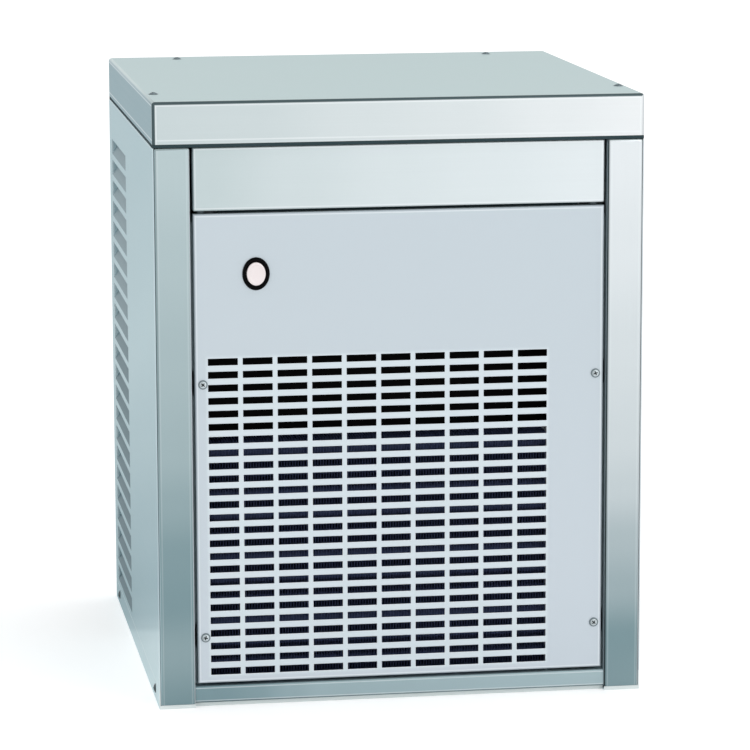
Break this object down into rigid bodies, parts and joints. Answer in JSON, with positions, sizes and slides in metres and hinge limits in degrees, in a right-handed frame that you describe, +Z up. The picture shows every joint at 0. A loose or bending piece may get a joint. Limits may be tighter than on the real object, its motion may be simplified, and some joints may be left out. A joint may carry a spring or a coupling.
{
  "type": "nugget ice maker head",
  "caption": "Free-standing nugget ice maker head: folded sheet cabinet with a slotted front, an auger evaporator, air-cooled refrigeration and a drop chute through its base.",
  "frame": {"origin": "centre of the base pan's underside, on the plane the cabinet stands on", "axes": "+Z up, +Y towards the rear panel, +X to the right as seen from the front; the slotted panel and the button face -Y"},
  "size_m": [0.565, 0.5893, 0.6975],
  "materials": {
    "stainless": "satin stainless sheet",
    "panel_satin": "plain satin sheet",
    "galvanised": "pale galvanised sheet",
    "screw_steel": "polished steel",
    "dark_screw": "blackened steel",
    "black_rubber": "matt",
    "black_plastic": "semi-gloss",
    "lens": "smooth translucent",
    "fins": "dark coated fins",
    "black_enamel": "gloss enamel",
    "copper": "bright copper",
    "aluminium": "as cast",
    "gear_steel": "machined",
    "foam": "matt closed-cell foam",
    "white_plastic": "moulded, food grade",
    "board": "circuit board with black parts",
    "brass": "machined"
  },
  "bodies": {
    "cabinet": {"base_pan": "galvanised", "electric_box": "galvanised", "electric_box_cover": "galvanised", "left_front_post": "stainless", "right_front_post": "stainless", "bottom_rail": "stainless", "upper_fascia": "stainless", "left_side_panel": "stainless", "right_side_panel": "stainless", "rear_panel": "stainless", "top_lid": "stainless", "evaporator_barrel": "stainless", "front_panel": "panel_satin", "lid_seal": "black_rubber", "rubber_mount_front": "black_rubber", "rubber_mount_rear": "black_rubber", "lid_screw_1": "screw_steel", "lid_screw_2": "screw_steel", "lid_screw_3": "screw_steel", "lid_screw_4": "screw_steel", "panel_screw_1": "screw_steel", "panel_screw_2": "screw_steel", "panel_screw_3": "screw_steel", "panel_screw_4": "screw_steel", "base_screw_1": "dark_screw", "base_screw_2": "dark_screw", "base_screw_3": "dark_screw", "base_screw_4": "dark_screw", "button_bezel": "black_plastic", "button_switch": "black_plastic", "drain_spigot": "black_plastic", "cord_gland": "black_plastic", "ice_spout": "black_plastic", "ice_chute": "black_plastic", "control_board": "board", "condenser": "fins", "fan_motor": "black_enamel", "compressor": "black_enamel", "motor_can": "black_enamel", "fan_shroud": "black_enamel", "gearbox_housing": "aluminium", "gearbox_cover": "aluminium", "extruder_head": "aluminium", "evaporator_insulation": "foam", "suction_line": "foam", "float_tank": "white_plastic", "water_feed_tube": "white_plastic", "filter_drier": "copper", "discharge_line": "copper", "liquid_line": "copper", "water_inlet_fitting": "brass"},
    "button": {"button_lens": "lens"},
    "fan": {"fan_blade": "aluminium"},
    "motor_rotor": {"motor_rotor": "gear_steel"},
    "idler_high": {"idler_gear_high": "gear_steel"},
    "idler_low": {"idler_gear_low": "gear_steel"},
    "auger": {"output_gear": "gear_steel", "auger": "stainless"},
    "float": {"float_arm": "white_plastic"},
    "flap": {"chute_flap": "black_plastic"}
  },
  "joints": [
    {"name": "button_press", "type": "slide", "parent": "cabinet", "child": "button", "axis": [0, 1, 0], "range_m": [0, 0.003], "stiffness_N_per_m": 400, "springref_m": -0.002},
    {"name": "fan_spin", "type": "hinge", "parent": "cabinet", "child": "fan", "pos_m": [-0.02525, -0.18, 0.1598], "axis": [0, 1, 0], "continuous": true},
    {"name": "rotor_spin", "type": "hinge", "parent": "cabinet", "child": "motor_rotor", "pos_m": [0.06803, 0.08933, 0.1], "axis": [0, 0, 1], "continuous": true},
    {"name": "idler_high_spin", "type": "hinge", "parent": "cabinet", "child": "idler_high", "pos_m": [0.10004, 0.09498, 0.06], "axis": [0, 0, 1], "continuous": true},
    {"name": "idler_low_spin", "type": "hinge", "parent": "cabinet", "child": "idler_low", "pos_m": [0.13771, 0.08488, 0.05], "axis": [0, 0, 1], "continuous": true},
    {"name": "auger_spin", "type": "hinge", "parent": "cabinet", "child": "auger", "pos_m": [0.1968, 0.0953, 0.05], "axis": [0, 0, 1], "continuous": true},
    {"name": "float_lift", "type": "hinge", "parent": "cabinet", "child": "float", "pos_m": [0.1633, 0.244, 0.451], "axis": [0, -1, 0], "range_deg": [0, 12]},
    {"name": "flap_swing", "type": "hinge", "parent": "cabinet", "child": "flap", "pos_m": [0.1518, -0.0862, 0.305], "axis": [0, 1, 0], "range_deg": [0, 30]}
  ],
  "couplings": [
    {"joint": "idler_high_spin", "follows": "rotor_spin", "ratio": -0.3},
    {"joint": "idler_low_spin", "follows": "rotor_spin", "ratio": 0.09},
    {"joint": "auger_spin", "follows": "rotor_spin", "ratio": -0.0225}
  ]
}
